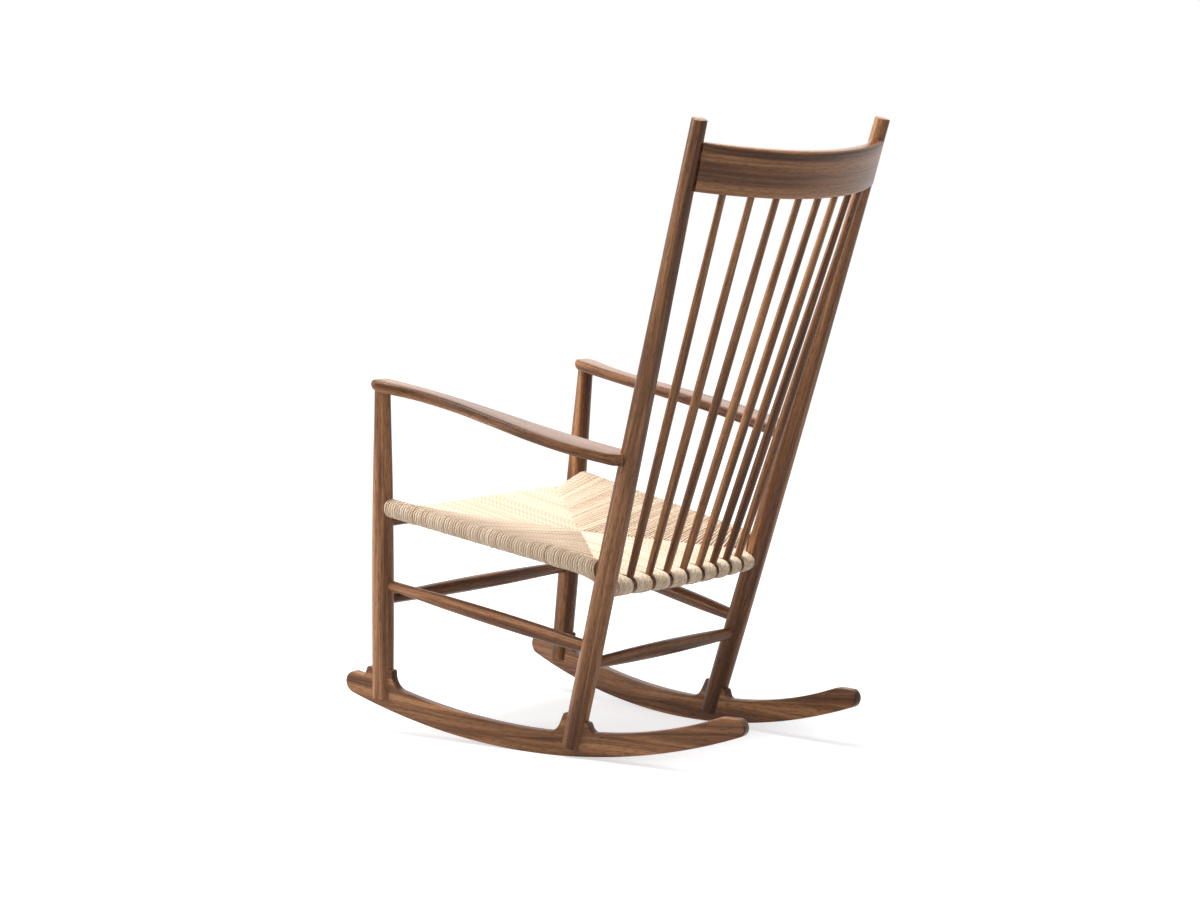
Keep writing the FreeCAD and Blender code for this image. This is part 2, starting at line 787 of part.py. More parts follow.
pieces = build()
whole = Part.makeCompound(list(pieces.values())).optimalBoundingBox(False)
os.makedirs("parts", exist_ok=True)
for name, solid in pieces.items():
    solid.translate(Vector(0, -whole.Center.y, -whole.ZMin))
    solid.exportStep("parts/" + name + ".step")
    print(name, len(solid.Solids), "solid", solid.isValid(), round(solid.Volume))
print("size", [round(side, 1) for side in (whole.XLength, whole.YLength, whole.ZLength)])
print("moved back by", round(-whole.Center.y, 2), "and up by", round(-whole.ZMin, 3))
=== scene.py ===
"""A high-backed rocking chair in oiled walnut with a woven paper cord seat, dressed for rendering."""

import math

import bpy
import numpy as np
from mathutils import Matrix, Vector


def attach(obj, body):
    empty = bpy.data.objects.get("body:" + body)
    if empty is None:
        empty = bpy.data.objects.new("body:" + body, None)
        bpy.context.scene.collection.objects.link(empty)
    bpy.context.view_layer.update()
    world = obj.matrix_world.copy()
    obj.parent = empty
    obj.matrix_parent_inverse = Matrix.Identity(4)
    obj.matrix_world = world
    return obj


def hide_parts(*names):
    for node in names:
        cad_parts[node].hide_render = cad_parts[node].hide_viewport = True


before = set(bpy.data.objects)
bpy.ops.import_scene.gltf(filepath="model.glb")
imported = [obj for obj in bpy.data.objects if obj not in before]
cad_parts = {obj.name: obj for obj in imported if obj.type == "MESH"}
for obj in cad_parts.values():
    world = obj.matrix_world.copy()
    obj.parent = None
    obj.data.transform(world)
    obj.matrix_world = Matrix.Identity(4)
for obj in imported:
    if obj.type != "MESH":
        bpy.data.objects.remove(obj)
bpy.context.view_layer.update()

# The photograph's view, fitted to the posts, crest and rockers: a long lens behind the chair's left
# side, a little above the arms. The chair faces -y, its left side is +x, and the feet of its back
# posts stand moved_back, in millimetres, behind the middle.
mm = 0.001
moved_back = 38.01
view_turn = math.radians(129.0)
view_rise = math.radians(6.38)
view_place = Vector((4096.8, 3226.04 + moved_back, 1086.21)) * mm
camera = bpy.data.cameras.new("camera")
camera.sensor_width = 36.0
camera.lens = 91.68
camera_stand = bpy.data.objects.new("camera", camera)
bpy.context.scene.collection.objects.link(camera_stand)
towards_camera = Vector(
    (
        math.sin(view_turn) * math.cos(view_rise),
        -math.cos(view_turn) * math.cos(view_rise),
        math.sin(view_rise),
    )
)
camera_stand.location = view_place
camera_stand.rotation_mode = "QUATERNION"
camera_stand.rotation_quaternion = (-towards_camera).to_track_quat("-Z", "Y")
bpy.context.scene.camera = camera_stand


# The rockers: two planks of oiled walnut on edge, sawn from one long arc, with ears that rise
# before and behind each post. They lean out with the posts, whose slotted feet stand over them.
def node(tree, kind, **settings):
    """A shader node with its inputs and properties set."""
    made = tree.nodes.new(kind)
    for name, value in settings.items():
        if name in made.inputs:
            made.inputs[name].default_value = value
        else:
            setattr(made, name, value)
    return made


def stretched(tree, source, scales):
    """Grain coordinates stretched along the wood."""
    mapping = node(tree, "ShaderNodeMapping")
    mapping.inputs["Scale"].default_value = scales
    tree.links.new(source, mapping.inputs["Vector"])
    return mapping.outputs["Vector"]


def multiplied(tree, first, second):
    """One colour times another, or times a share."""
    product = node(tree, "ShaderNodeMix", data_type="RGBA", blend_type="MULTIPLY")
    product.inputs["Factor"].default_value = 1.0
    tree.links.new(first, product.inputs["A"])
    tree.links.new(second, product.inputs["B"])
    return product.outputs["Result"]


def walnut_material():
    """Dark oiled walnut: broad colour bands, finer growth lines, short dark pores, darker end grain."""
    wood = bpy.data.materials.new("oiled_walnut")
    wood.use_nodes = True
    tree = wood.node_tree
    shader = tree.nodes["Principled BSDF"]
    grain = node(tree, "ShaderNodeAttribute", attribute_name="grain").outputs["Vector"]

    bend = node(tree, "ShaderNodeTexNoise", Scale=1.0, Detail=1.0)
    tree.links.new(stretched(tree, grain, (3.0, 14.0, 14.0)), bend.inputs["Vector"])
    bent = node(tree, "ShaderNodeVectorMath", operation="MULTIPLY_ADD")
    tree.links.new(bend.outputs["Color"], bent.inputs[0])
    bent.inputs[1].default_value = (0.0, 0.018, 0.018)
    tree.links.new(grain, bent.inputs[2])

    bands = node(tree, "ShaderNodeTexNoise", Scale=1.0, Detail=3.0, Roughness=0.55)
    tree.links.new(stretched(tree, bent.outputs[0], (1.6, 62.0, 62.0)), bands.inputs["Vector"])
    lines = node(tree, "ShaderNodeTexNoise", Scale=1.0, Detail=4.0, Roughness=0.6)
    tree.links.new(stretched(tree, bent.outputs[0], (2.2, 190.0, 190.0)), lines.inputs["Vector"])
    pores = node(tree, "ShaderNodeTexNoise", Scale=1.0, Detail=2.0, Roughness=0.5)
    tree.links.new(stretched(tree, grain, (60.0, 1100.0, 1100.0)), pores.inputs["Vector"])

    mixed = node(tree, "ShaderNodeMath", operation="MULTIPLY_ADD")
    tree.links.new(lines.outputs["Fac"], mixed.inputs[0])
    mixed.inputs[1].default_value = 0.62
    tree.links.new(bands.outputs["Fac"], mixed.inputs[2])
    tone = node(tree, "ShaderNodeValToRGB")
    tree.links.new(mixed.outputs[0], tone.inputs["Fac"])
    ramp = tone.color_ramp
    ramp.elements[0].position = 0.56
    ramp.elements[0].color = (0.068, 0.026, 0.010, 1)
    ramp.elements[1].position = 1.0
    ramp.elements[1].color = (0.43, 0.205, 0.092, 1)
    for place, colour in ((0.70, (0.128, 0.051, 0.020, 1)), (0.84, (0.236, 0.104, 0.043, 1))):
        stop = ramp.elements.new(place)
        stop.color = colour

    pore_tone = node(tree, "ShaderNodeValToRGB")
    tree.links.new(pores.outputs["Fac"], pore_tone.inputs["Fac"])
    pore_tone.color_ramp.elements[0].position = 0.34
    pore_tone.color_ramp.elements[0].color = (0.42, 0.38, 0.35, 1)
    pore_tone.color_ramp.elements[1].position = 0.46
    pore_tone.color_ramp.elements[1].color = (1, 1, 1, 1)
    coloured = multiplied(tree, tone.outputs["Color"], pore_tone.outputs["Color"])
    ends = node(tree, "ShaderNodeAttribute", attribute_name="end_grain")
    soaked = node(tree, "ShaderNodeMapRange")
    tree.links.new(ends.outputs["Fac"], soaked.inputs["Value"])
    soaked.inputs["To Min"].default_value = 1.0
    soaked.inputs["To Max"].default_value = 0.42
    darkened = multiplied(tree, coloured, soaked.outputs["Result"])
    tree.links.new(darkened, shader.inputs["Base Color"])

    dull = node(tree, "ShaderNodeMapRange")
    tree.links.new(lines.outputs["Fac"], dull.inputs["Value"])
    dull.inputs["To Min"].default_value = 0.24
    dull.inputs["To Max"].default_value = 0.36
    tree.links.new(dull.outputs["Result"], shader.inputs["Roughness"])
    bump = node(tree, "ShaderNodeBump", Strength=0.25, Distance=0.0002)
    tree.links.new(pores.outputs["Fac"], bump.inputs["Height"])
    tree.links.new(bump.outputs["Normal"], shader.inputs["Normal"])
    shader.inputs["IOR"].default_value = 1.48
    shader.inputs["Specular IOR Level"].default_value = 0.22
    return wood


walnut = walnut_material()
grain_luck = np.random.default_rng(7)
grain_reach = 4
sharp_edge = math.radians(50)


def skin(name, rings, grain, end_grain=None):
    """A closed skin over rings of points.

    Grain gives each point's place along and across the wood, from a tree long enough for each piece
    to come from another part of it. End_grain says how much of the wood's dark end a point shows.
    """
    count, around = len(rings), len(rings[0])
    points = [tuple(p) for ring in rings for p in ring]
    faces = []
    for i in range(count - 1):
        for j in range(around):
            k = (j + 1) % around
            faces.append((i * around + j, i * around + k, (i + 1) * around + k, (i + 1) * around + j))
    faces.append(tuple(reversed(range(around))))
    faces.append(tuple(range((count - 1) * around, count * around)))
    mesh = bpy.data.meshes.new(name)
    mesh.from_pydata(points, [], faces)
    mesh.validate()
    values = mesh.attributes.new("grain", "FLOAT_VECTOR", "POINT")
    shift = grain_luck.uniform(-grain_reach, grain_reach, 3)
    values.data.foreach_set("vector", (np.array(grain).reshape(-1, 3) + shift).ravel())
    if end_grain is not None:
        shares = mesh.attributes.new("end_grain", "FLOAT", "POINT")
        shares.data.foreach_set("value", np.array(end_grain, dtype=np.float32).ravel())
    mesh.shade_smooth()
    mesh.set_sharp_from_angle(angle=sharp_edge)
    made = bpy.data.objects.new(name, mesh)
    bpy.context.scene.collection.objects.link(made)
    return made


def fit_walnut(piece, *nodes):
    """Finishes a walnut piece and puts it in the place of its frame nodes."""
    piece.data.materials.append(walnut)
    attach(piece, "root")
    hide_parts(*nodes)


def side_copy(points):
    """The same points on the chair's other side."""
    return [Vector((-p[0], p[1], p[2])) for p in points]


def on_line(low, high, z):
    """The point at height z on the line through low and high."""
    return low + (high - low) * ((z - low.z) / (high.z - low.z))


# The posts' middle lines, which the other pieces follow, and where they cross the planks.
back_height, back_rake, back_half = 1070.0, 317.7, 257.1
back_foot = Vector((192.5, moved_back, 0)) * mm
back_top = Vector((back_half, back_rake + moved_back, back_height)) * mm
front_foot = Vector((240.2, moved_back - 386.3, 0)) * mm
front_top = Vector((274.7, moved_back - 348.7, 600.0)) * mm
front_joint, back_joint = 90 * mm, 44 * mm
front_cross = on_line(front_foot, front_top, front_joint)
back_cross = on_line(back_foot, back_top, back_joint)
front_cross.z = back_cross.z = 0
front_span = (back_cross - front_cross).length
rocker_way = (back_cross - front_cross).normalized()
rocker_across = Vector((rocker_way.y, -rocker_way.x, 0))
rocker_lean = math.tan(math.radians(4.6))

# The plank's outline: places along it from the back post, depths up from its lower edge, and the
# ears' tops up from the floor.
rocker_radius = 1145 * mm
balance_reach = 76 * mm
depth_front, depth_middle, depth_back, depth_tail = 45 * mm, 43.25 * mm, 41.5 * mm, 39 * mm
nose_reach, nose_radius = 55.5 * mm, 20 * mm
brow_set, brow_drop, brow_round = 7 * mm, 4.5 * mm, 6 * mm
front_ear_half, front_ear_top, front_ear_round = 27 * mm, 115.5 * mm, 3 * mm
front_hollow_run, front_hollow_round = 35 * mm, 26 * mm
span_stop, back_hollow, back_hollow_round = -64 * mm, -34 * mm, 27 * mm
back_ear_start, back_ear_high, back_ear_round = -17 * mm, 72.5 * mm, 3 * mm
back_ear_stop, back_ear_low, back_ear_rear_round = 31 * mm, 72 * mm, 3.5 * mm
tail_hollow, tail_hollow_round = 37.5 * mm, 11 * mm
tail_from, tail_to = 52 * mm, 277.5 * mm
knee_reach, knee_round = 14 * mm, 30 * mm
tail_reach, tail_radius = 317.5 * mm, 16 * mm


def lean_out(u, z):
    """How far the plank, which leans out with the posts, stands outside its line on the floor."""
    return rocker_lean * (z - back_joint + (front_joint - back_joint) * u / front_span)


def rocker_bottom(u):
    """Height of a rocker's lower edge, u behind the back post."""
    return rocker_radius - math.sqrt(rocker_radius**2 - (u + balance_reach) ** 2)


def arc_points(start, middle, end, steps):
    """Points on the circle through three points of a plane."""
    ax, ay, bx, by, cx, cy = *start, *middle, *end
    area = 2 * (ax * (by - cy) + bx * (cy - ay) + cx * (ay - by))
    a2, b2, c2 = ax * ax + ay * ay, bx * bx + by * by, cx * cx + cy * cy
    hub_x = a2 * (by - cy) + b2 * (cy - ay) + c2 * (ay - by)
    hub_y = a2 * (cx - bx) + b2 * (ax - cx) + c2 * (bx - ax)
    hub = np.array([hub_x, hub_y]) / area
    turns = [math.atan2(p[1] - hub[1], p[0] - hub[0]) for p in (start, middle, end)]
    sweep = (turns[2] - turns[0]) % math.tau
    if (turns[1] - turns[0]) % math.tau > sweep:
        sweep -= math.tau
    size = math.hypot(ax - hub[0], ay - hub[1])
    places = [turns[0] + sweep * k / steps for k in range(steps + 1)]
    return [hub + size * np.array([math.cos(turn), math.sin(turn)]) for turn in places]


def rounded(corners, steps=8):
    """Points along straight runs whose corners are rounded by the given radii."""
    points = [np.array(corners[0][0])]
    for (before, _), (here, radius), (after, _) in zip(corners, corners[1:], corners[2:]):
        before, here, after = np.array(before), np.array(here), np.array(after)
        back = (before - here) / np.linalg.norm(before - here)
        ahead = (after - here) / np.linalg.norm(after - here)
        half = math.acos(max(-1, min(1, back @ ahead))) / 2
        reach = radius / math.tan(half)
        inward = (back + ahead) / np.linalg.norm(back + ahead)
        middle = here + inward * (radius / math.sin(half) - radius)
        points += arc_points(here + back * reach, middle, here + ahead * reach, steps)
    points.append(np.array(corners[-1][0]))
    return points


def rocker_outline():
    """A rocker's outline in its own plane, from the nose over the ears to the tail and back."""
    hub = np.array([-balance_reach, rocker_radius])

    def end_round(u, radius):
        drop = math.sqrt((rocker_radius - radius) ** 2 - (u + balance_reach) ** 2)
        return np.array([u, rocker_radius - drop])

    def top(u, depth):
        return np.array([u, rocker_bottom(u) + depth])

    def shoulder(axis, u, joint, height):
        return np.array([u, height - axis.dot(rocker_way) / axis.z * (u - joint)])

    nose = end_round(-front_span - nose_reach, nose_radius)
    tail = end_round(tail_reach, tail_radius)
    nose_low = nose + (nose - hub) / np.linalg.norm(nose - hub) * nose_radius
    tail_low = tail + (tail - hub) / np.linalg.norm(tail - hub) * tail_radius
    nose_top = nose + np.array([0, nose_radius])
    front_axis, back_axis = front_top - front_foot, back_top - back_foot
    ear_front, ear_rear = -front_span - front_ear_half, -front_span + front_ear_half
    span_start = top(ear_rear + front_hollow_run, depth_front)
    span_end = top(span_stop, depth_back)
    span_middle = top((span_start[0] + span_end[0]) / 2, depth_middle)
    tail_start = top(tail_from, depth_back)
    tail_end = top(tail_to, depth_back)
    tail_middle = top((tail_start[0] + tail_end[0]) / 2, depth_tail)

    points = arc_points(nose_low, nose - np.array([nose_radius, 0]), nose_top, 20)
    points += rounded(
        [
            (nose_top, 0),
            (np.array([ear_front - brow_set, nose_top[1] - brow_drop]), brow_round),
            (shoulder(front_axis, ear_front, -front_span, front_ear_top), front_ear_round),
            (shoulder(front_axis, ear_rear, -front_span, front_ear_top), front_ear_round),
            (top(ear_rear, depth_front), front_hollow_round),
            (span_start, 0),
        ]
    )[1:]
    points += arc_points(span_start, span_middle, span_end, 24)[1:]
    points += rounded(
        [
            (span_end, 0),
            (top(back_hollow, depth_back), back_hollow_round),
            (shoulder(back_axis, back_ear_start, 0, back_ear_high), back_ear_round),
            (shoulder(back_axis, back_ear_stop, 0, back_ear_low), back_ear_rear_round),
            (top(tail_hollow, depth_back), tail_hollow_round),
            (tail_start, 0),
        ]
    )[1:]
    points += arc_points(tail_start, tail_middle, tail_end, 20)[1:]
    chord = tail_end - tail
    lift = np.array([chord[1], -chord[0]]) / np.linalg.norm(chord)
    if lift[1] < 0:
        lift = -lift
    tail_top = tail + lift * tail_radius
    knee = tail_end + (tail_end - points[-2]) / np.linalg.norm(tail_end - points[-2]) * knee_reach
    points += rounded([(tail_end, 0), (knee, knee_round), (tail_top + (knee - tail_top) * 0.02, 0)])[1:]
    points += arc_points(tail_top, tail + np.array([tail_radius, 0]), tail_low, 18)[1:]
    points += arc_points(tail_low, hub - np.array([0, rocker_radius]), nose_low, 90)[1:-1]
    return np.array(points)


def inset(outline, amount):
    """The outline drawn in by an amount, and each point's way in."""
    before, after = np.roll(outline, 1, axis=0), np.roll(outline, -1, axis=0)
    way = after - before
    way /= np.linalg.norm(way, axis=1)[:, None]
    inward = np.stack([way[:, 1], -way[:, 0]], axis=1)
    return outline + inward * amount, inward


rocker_half = 8.25 * mm
rocker_edge = 2.2 * mm
grain_curve = 0.35
outline = rocker_outline()
edge_turns = [math.radians(90 * k / 4) for k in range(5)]
rims = [
    (-rocker_half + rocker_edge * (1 - math.cos(turn)), rocker_edge * (1 - math.sin(turn)))
    for turn in edge_turns
]
rims += [(-off, drawn) for off, drawn in reversed(rims)]
rocker_rings, rocker_grain, rocker_ends = [], [], []
for off, drawn in rims:
    ring, inward = inset(outline, drawn)
    # the outermost rims border the flat cheeks, which show no end grain
    facing = 1.0 if drawn < rocker_edge * 0.9 else 0.0
    rocker_ends.append(facing * np.abs(inward[:, 0]) ** 2)
    points, marks = [], []
    for u, z in ring:
        beside = rocker_across * (off + lean_out(u, z))
        points.append(back_cross + rocker_way * u + beside + Vector((0, 0, z)))
        marks.append((u, z - grain_curve * rocker_bottom(u), off))
    rocker_rings.append(points)
    rocker_grain.append(marks)
fit_walnut(skin("left_rocker_plank", rocker_rings, rocker_grain, rocker_ends), "left_rocker")
right_rings = [list(reversed(side_copy(ring))) for ring in rocker_rings]
right_grain = [list(reversed(ring)) for ring in rocker_grain]
right_ends = [ring[::-1] for ring in rocker_ends]
fit_walnut(skin("right_rocker_plank", right_rings, right_grain, right_ends), "right_rocker")


# The posts: turned walnut, widest below the seat and thinner towards the top, slotted over the
# rockers. The front pair is tenoned up into the arms, the back pair stands clear of the crest.
def eased(stations, share):
    """The width at a share of the length, on an easy curve through the stations."""
    places = [s for s, _ in stations]
    widths = [w for _, w in stations]
    slopes = np.gradient(widths, places)
    k = min(max(np.searchsorted(places, share) - 1, 0), len(places) - 2)
    span = places[k + 1] - places[k]
    t = (share - places[k]) / span
    return (
        (2 * t**3 - 3 * t**2 + 1) * widths[k]
        + (t**3 - 2 * t**2 + t) * span * slopes[k]
        + (3 * t**2 - 2 * t**3) * widths[k + 1]
        + (t**3 - t**2) * span * slopes[k + 1]
    )


def turned(name, low, high, radius, stations, end_round=0.0, sides=40, steps=60):
    """A round piece turned between two points, its far end softened."""
    length = (high - low).length
    along = (high - low).normalized()
    out = along.cross(Vector((0, 1, 0.02))).normalized()
    aside = along.cross(out)
    places = [length * k / steps for k in range(steps + 1)]
    sizes = [radius * eased(stations, p / length) for p in places]
    if end_round:
        plain_end = length - end_round * 1.5
        places = [p for p in places if p < plain_end]
        sizes = sizes[: len(places)]
        edge = radius * eased(stations, 1)
        for turn in (math.radians(90 * k / 5) for k in range(6)):
            places.append(length - end_round * (1 - math.sin(turn)))
            sizes.append(edge - end_round * (1 - math.cos(turn)))
    rings, grain = [], []
    for place, size in zip(places, sizes):
        ring, marks = [], []
        for k in range(sides):
            turn = math.tau * k / sides
            a, b = size * math.cos(turn), size * math.sin(turn)
            ring.append(low + along * place + out * a + aside * b)
            marks.append((place, a, b))
        rings.append(ring)
        grain.append(marks)
    return skin(name, rings, grain)


back_shares = [(0, 0.968), (0.1, 1.0), (0.27, 1.01), (0.48, 0.965), (0.63, 0.9), (0.79, 0.805), (1, 0.69)]
front_shares = [(0, 0.97), (0.1, 0.985), (0.44, 1.0), (0.72, 0.895), (0.89, 0.777), (1, 0.71)]
front_radius, back_radius, back_softened = 19.3 * mm, 18.9 * mm, 2 * mm
foot_rise, front_tenon_top = 17 * mm, 612 * mm
posts = {
    "front": (
        on_line(front_foot, front_top, rocker_bottom(-front_span) + foot_rise),
        on_line(front_foot, front_top, front_tenon_top),
        front_radius,
        front_shares,
        0.0,
    ),
    "back": (
        on_line(back_foot, back_top, rocker_bottom(0) + foot_rise),
        back_top,
        back_radius,
        back_shares,
        back_softened,
    ),
}
for place, (low, high, radius, shares, softened) in posts.items():
    for side, way in (("left", 1), ("right", -1)):
        ends = [low, high] if way > 0 else side_copy([low, high])
        post = turned(side + "_" + place + "_turned_post", *ends, radius, shares, softened)
        fit_walnut(post, side + "_" + place + "_post")


# The stretchers: four turned walnut bars glued into blind holes. They swell in the middle, the
# side pair a little behind it.
cross_shares = [(0, 0.74), (0.05, 0.76), (0.28, 0.93), (0.5, 1.0), (0.72, 0.93), (0.95, 0.76), (1, 0.74)]
side_shares = [(0, 0.65), (0.06, 0.67), (0.35, 0.92), (0.6, 1.0), (0.8, 0.95), (0.94, 0.84), (1, 0.83)]
front_bar, back_bar, side_bar = 13.4 * mm, 13.2 * mm, 13.4 * mm
front_end = on_line(front_foot, front_top, 238 * mm)
back_end = on_line(back_foot, back_top, 164.5 * mm)
side_ends = [on_line(front_foot, front_top, 267.5 * mm), on_line(back_foot, back_top, 192 * mm)]
bars = {
    "front_stretcher": (front_end, side_copy([front_end])[0], front_bar, cross_shares),
    "back_stretcher": (back_end, side_copy([back_end])[0], back_bar, cross_shares),
    "left_side_stretcher": (*side_ends, side_bar, side_shares),
    "right_side_stretcher": (*side_copy(side_ends), side_bar, side_shares),
}
for name, (low, high, radius, shares) in bars.items():
    fit_walnut(turned(name + "_bar", low, high, radius, shares, sides=32, steps=48), name)


# The seat rails: four plain walnut bars tenoned into the posts. The cord hides them but for the
# slots at the spindles and the front rail's ends. The back one is bowed like the crest.
plain_shares = [(0, 1.0), (1, 1.0)]
front_rail_height, back_rail_height = 378 * mm, 296 * mm
front_rail_radius, side_rail_radius, back_rail_radius = 12.5 * mm, 12.9 * mm, 11.5 * mm
side_front = on_line(front_foot, front_top, 404 * mm)
side_back = on_line(back_foot, back_top, 326 * mm)
front_rail_end = on_line(front_foot, front_top, front_rail_height)
rails = {
    "front_seat_rail": (front_rail_end, side_copy([front_rail_end])[0], front_rail_radius),
    "left_seat_rail": (side_front, side_back, side_rail_radius),
    "right_seat_rail": (*side_copy([side_front, side_back]), side_rail_radius),
}
for name, (low, high, radius) in rails.items():
    fit_walnut(turned(name + "_bar", low, high, radius, plain_shares, sides=32, steps=4), name)

rail_set, rail_bow = 6 * mm, 24 * mm
rail_end = on_line(back_foot, back_top, back_rail_height) - Vector((0, rail_set, 0))
rail_curve = (rail_end.x**2 + rail_bow**2) / (2 * rail_bow)
rail_hub = rail_end.y + rail_bow - rail_curve


def rail_point(x):
    """The point of the back rail's middle line at x."""
    return Vector((x, rail_hub + math.sqrt(rail_curve**2 - x**2), back_rail_height))


rail_rings, rail_grain = [], []
rail_steps, rail_sides = 40, 32
for step in range(rail_steps + 1):
    middle = rail_point(rail_end.x * (1 - 2 * step / rail_steps))
    outward = Vector((middle.x, middle.y - rail_hub, 0)).normalized()
    ring, marks = [], []
    for k in range(rail_sides):
        turn = math.tau * k / rail_sides
        deep, high = back_rail_radius * math.cos(turn), back_rail_radius * math.sin(turn)
        ring.append(middle + outward * deep + Vector((0, 0, high)))
        marks.append((middle.x, deep, high))
    rail_rings.append(ring)
    rail_grain.append(marks)
fit_walnut(skin("back_seat_rail_bar", rail_rings, rail_grain), "back_seat_rail")


# The spindles: eight thin turned sticks from the back rail up into the crest, thickest a third
# of the way up, glued into round holes. They spread towards the crest, whose curve they meet.
lean = math.atan2(back_rake, back_height)
back_place = Matrix.Translation((0, moved_back * mm, 0)) @ Matrix.Rotation(-lean, 4, "X")
crest_bow = 60
crest_radius = (back_half**2 + crest_bow**2) / (2 * crest_bow) * mm
crest_hub = 75 * mm - crest_radius
crest_low, crest_high, crest_thick = 1001 * mm, 1081 * mm, 20.5 * mm
spindle_count, spindle_radius, spindle_tenon = 8, 7.8 * mm, 14 * mm
rail_pitch, crest_pitch, foot_set = 43 * mm, 55 * mm, 3.5 * mm
spindle_shares = [(0, 0.8), (0.07, 0.88), (0.2, 0.98), (0.36, 1.01), (0.68, 0.93), (0.97, 0.75), (1, 0.75)]
crest_inside = crest_radius - crest_thick / 2
for number in range(spindle_count):
    place = (spindle_count - 1) / 2 - number
    foot = rail_point(place * rail_pitch) - Vector((0, foot_set, 0))
    x = place * crest_pitch
    mouth = back_place @ Vector((x, crest_hub + math.sqrt(crest_inside**2 - x**2), crest_low))
    head = mouth + (mouth - foot).normalized() * spindle_tenon
    name = "spindle_stick_" + str(number + 1)
    stick = turned(name, foot, head, spindle_radius, spindle_shares, sides=24, steps=48)
    fit_walnut(stick, "spindle_" + str(number + 1))


# The crest: one walnut board, bent to a bow behind the sitter's head, its edges rounded over and
# its ends tenoned into the back posts.
def soft_oblong(half_wide, half_high, high_radius, low_radius, steps=6):
    """A rectangle as pairs of numbers, with one radius for its upper corners and one for its lower."""
    points = []
    for corner, (cx, cy) in enumerate(((1, 1), (-1, 1), (-1, -1), (1, -1))):
        radius = high_radius if cy > 0 else low_radius
        for k in range(steps + 1):
            turn = math.radians(90 * corner + 90 * k / steps)
            points.append(
                (
                    cx * (half_wide - radius) + radius * math.cos(turn),
                    cy * (half_high - radius) + radius * math.sin(turn),
                )
            )
    return points


crest_short = 5.5 * mm
crest_top_round, crest_low_round = 6.5 * mm, 5 * mm
crest_steps = 64
crest_rings, crest_grain = [], []
for step in range(crest_steps + 1):
    ring, marks = [], []
    half_deep, half_high = crest_thick / 2, (crest_high - crest_low) / 2
    for deep, high in soft_oblong(half_deep, half_high, crest_top_round, crest_low_round):
        size = crest_inside + deep
        z = (crest_low + crest_high) / 2 + high
        crest_half = on_line(back_foot, back_top, z * math.cos(lean)).x - crest_short
        turn = math.asin(crest_half * (2 * step / crest_steps - 1) / crest_inside)
        ring.append(back_place @ Vector((size * math.sin(turn), crest_hub + size * math.cos(turn), z)))
        marks.append((crest_inside * turn, high, deep))
    crest_rings.append(list(reversed(ring)))
    crest_grain.append(list(reversed(marks)))
fit_walnut(skin("crest_board", crest_rings, crest_grain), "crest_rail")


# The arms: shaped walnut boards that sit on the front posts' tenons and are scribed to the back
# posts. They are full and round at the front, waisted on the outside, widest before the back post.
arm_drop, arm_front_top, arm_thick, arm_width = 96 * mm, 623.5 * mm, 19.5 * mm, 58 * mm
arm_overhang, arm_corner, arm_crown, arm_round = 16 * mm, 15 * mm, 3 * mm, 7 * mm
arm_nose, nose_fall, nose_roll, nose_rounder = 17 * mm, 13 * mm, 30 * mm, 2.2 * mm
nose_wide, nose_thick = 0.3, 0.25
arm_start = on_line(front_foot, front_top, arm_front_top - arm_thick)
arm_stop = on_line(back_foot, back_top, arm_front_top - arm_drop - arm_thick / 2)
arm_length = math.hypot(arm_stop.x - arm_start.x, arm_stop.y - arm_start.y)
arm_outer = [(-0.05, 0.36), (0.0, 0.34), (0.14, 0.15), (0.29, 0.22)]
arm_outer += [(0.49, 0.58), (0.69, 0.93), (0.84, 0.98), (1, 0.68)]
arm_inner = [(-0.05, 0.40), (0.0, 0.41), (0.14, 0.45), (0.29, 0.38)]
arm_inner += [(0.49, 0.21), (0.69, 0.07), (0.84, 0.11), (1, 0.3)]


def quarter(share):
    """Height of a quarter round at a share of its width, both from 0 to 1."""
    return math.sqrt(max(1 - (1 - min(share, 1)) ** 2, 0))


for side, way in (("left", 1), ("right", -1)):
    arm_rings, arm_grain = [], []
    runs = [arm_nose * (1 - math.cos(math.radians(90 * k / 12))) for k in range(13)]
    runs += list(np.linspace(arm_nose, arm_length + arm_overhang, 60)[1:])
    for run in runs:
        share = (run - arm_overhang) / arm_length
        inside = min(max(share, 0), 1)
        outer = arm_width * eased(arm_outer, share)
        inner = arm_width * eased(arm_inner, share)
        outer -= arm_corner * (1 - quarter((arm_length + arm_overhang - run) / arm_corner))
        half, middle = (outer + inner) / 2, (outer - inner) / 2
        half *= nose_wide + (1 - nose_wide) * quarter(run / arm_nose)
        half_thick = arm_thick / 2 * (nose_thick + (1 - nose_thick) * quarter(run / nose_fall))
        x = arm_start.x + (arm_stop.x - arm_start.x) * share + middle
        y = arm_start.y + (arm_stop.y - arm_start.y) * share
        crown = arm_crown * (1 - (2 * inside - 1) ** 2)
        z = arm_front_top - arm_drop * share + crown - arm_thick / 2
        # the lower edges are fuller than the upper ones, and all of them close in at the nose
        roll = 1 - min(run / nose_roll, 1)
        full = min(arm_round + nose_rounder * roll, half * 0.95, half_thick * (0.85 + 0.1 * roll))
        crisp = full * (0.62 + 0.36 * roll - 0.2 * inside)
        ring, marks = [], []
        for wide, high in soft_oblong(half, half_thick, crisp, full):
            ring.append(Vector((way * (x + wide), y, z + high)))
            marks.append((run, wide, high))
        if way > 0:
            ring.reverse()
            marks.reverse()
        arm_rings.append(ring)
        arm_grain.append(marks)
    fit_walnut(skin(side + "_arm_board", arm_rings, arm_grain), side + "_arm")


